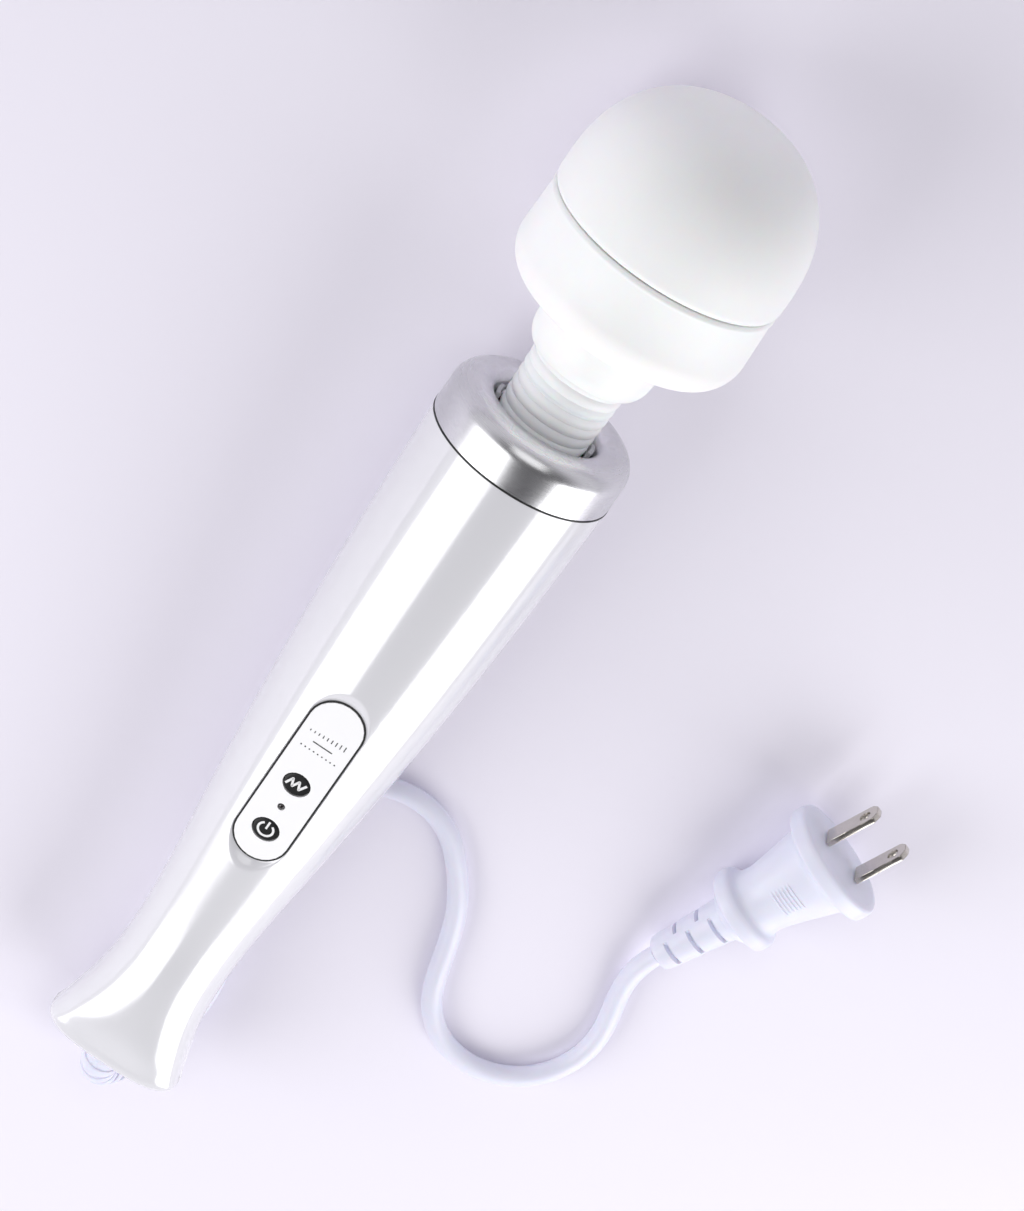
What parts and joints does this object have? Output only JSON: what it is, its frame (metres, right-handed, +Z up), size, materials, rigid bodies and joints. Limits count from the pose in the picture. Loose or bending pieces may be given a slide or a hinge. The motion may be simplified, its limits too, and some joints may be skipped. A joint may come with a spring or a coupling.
{
  "type": "handheld wand massager",
  "caption": "Corded handheld massager: a flared white handle with two oval keys, polished collar, ribbed flexible neck, round vibrating head, and a short mains lead with a flat-blade plug.",
  "frame": {"origin": "on the floor, under the middle of the box of the wand as it lies on its side, without its lead and plug", "axes": "+Y from the cord end to the head, +Z up from the floor, +X to the side that the lead and plug lie on"},
  "size_m": [0.1787, 0.3144, 0.0629],
  "materials": {
    "gloss_white_shell": "polished white ABS",
    "soft_white_head": "satin white silicone",
    "white_plastic": "satin",
    "panel_white": "satin film",
    "lead_white": "soft PVC, slightly blue white",
    "black_plastic": "matte",
    "key_black": "smooth satin",
    "lamp": "clear dark lens",
    "grey_plastic": "satin",
    "collar_chrome": "mirror polished",
    "steel": "machined",
    "weight_brass": "machined",
    "plug_nickel": "satin nickel plate",
    "motor_magnet": "sintered ferrite",
    "black_rubber": "matte",
    "board": "solder mask",
    "blue_plastic": "smooth"
  },
  "bodies": {
    "handle": {"front_shell": "gloss_white_shell", "rear_shell": "gloss_white_shell", "shell_screw_1": "steel", "shell_screw_2": "steel", "screw_plug_1": "gloss_white_shell", "screw_plug_2": "gloss_white_shell", "collar_ring": "collar_chrome", "neck_socket": "black_plastic", "neck_ring": "white_plastic", "neck_clip_left": "grey_plastic", "neck_clip_right": "grey_plastic", "end_cap": "gloss_white_shell", "cord_clamp": "grey_plastic", "inner_lead": "lead_white", "cord_guard": "lead_white", "power_cord": "lead_white", "plug_guard": "lead_white", "plug_body": "lead_white", "blade_left": "plug_nickel", "blade_right": "plug_nickel", "control_panel": "panel_white", "led_lens": "lamp", "circuit_board": "board", "power_switch": "steel", "mode_switch": "steel", "indicator_led": "lamp", "power_module": "blue_plastic", "capacitor": "blue_plastic", "motor_can": "steel", "motor_end_cap": "black_plastic", "motor_magnet_left": "motor_magnet", "motor_magnet_right": "motor_magnet", "motor_mount_front": "black_rubber", "motor_mount_rear": "black_rubber", "neck_sleeve": "soft_white_head", "neck_spring": "steel"},
    "power_key": {"power_button": "key_black"},
    "mode_key": {"mode_button": "key_black"},
    "motor_rotor": {"motor_armature": "steel", "shaft_coupling": "weight_brass", "flex_shaft": "steel"},
    "neck_mid": {"neck_guide": "white_plastic"},
    "head": {"head_skirt": "soft_white_head", "head_hub": "black_plastic", "head_lower_cover": "soft_white_head", "head_cap": "soft_white_head", "head_core": "grey_plastic", "core_lid": "grey_plastic", "lower_bearing": "steel", "upper_bearing": "steel"},
    "eccentric": {"eccentric_shaft": "steel", "eccentric_weight": "weight_brass"}
  },
  "joints": [
    {"name": "power_press", "type": "slide", "parent": "handle", "child": "power_key", "axis": [0.2579, 0.1316, -0.9572], "range_m": [0, 0.0005], "stiffness_N_per_m": 2000, "springref_m": -0.0002},
    {"name": "mode_press", "type": "slide", "parent": "handle", "child": "mode_key", "axis": [0.2579, 0.1316, -0.9572], "range_m": [0, 0.0005], "stiffness_N_per_m": 2000, "springref_m": -0.0002},
    {"name": "motor_spin", "type": "hinge", "parent": "handle", "child": "motor_rotor", "pos_m": [0, 0.07031, 0.02955], "axis": [0, 0.9988, 0.0487], "continuous": true},
    {"name": "neck_nod", "type": "hinge", "parent": "handle", "child": "neck_mid", "pos_m": [0, 0.07031, 0.02955], "axis": [0.9659, -0.0126, 0.2585], "range_deg": [-12, 12], "stiffness_Nm_per_rad": 6, "deforming": ["neck_sleeve", "neck_spring"]},
    {"name": "neck_sway", "type": "hinge", "parent": "neck_mid", "child": "head", "pos_m": [0, 0.07031, 0.02955], "axis": [-0.2588, -0.0471, 0.9648], "range_deg": [-12, 12], "stiffness_Nm_per_rad": 6, "deforming": ["flex_shaft"]},
    {"name": "eccentric_spin", "type": "hinge", "parent": "head", "child": "eccentric", "pos_m": [0, 0.07031, 0.02955], "axis": [0, 0.9988, 0.0487], "continuous": true}
  ],
  "couplings": [
    {"joint": "eccentric_spin", "follows": "motor_spin", "ratio": 1}
  ]
}
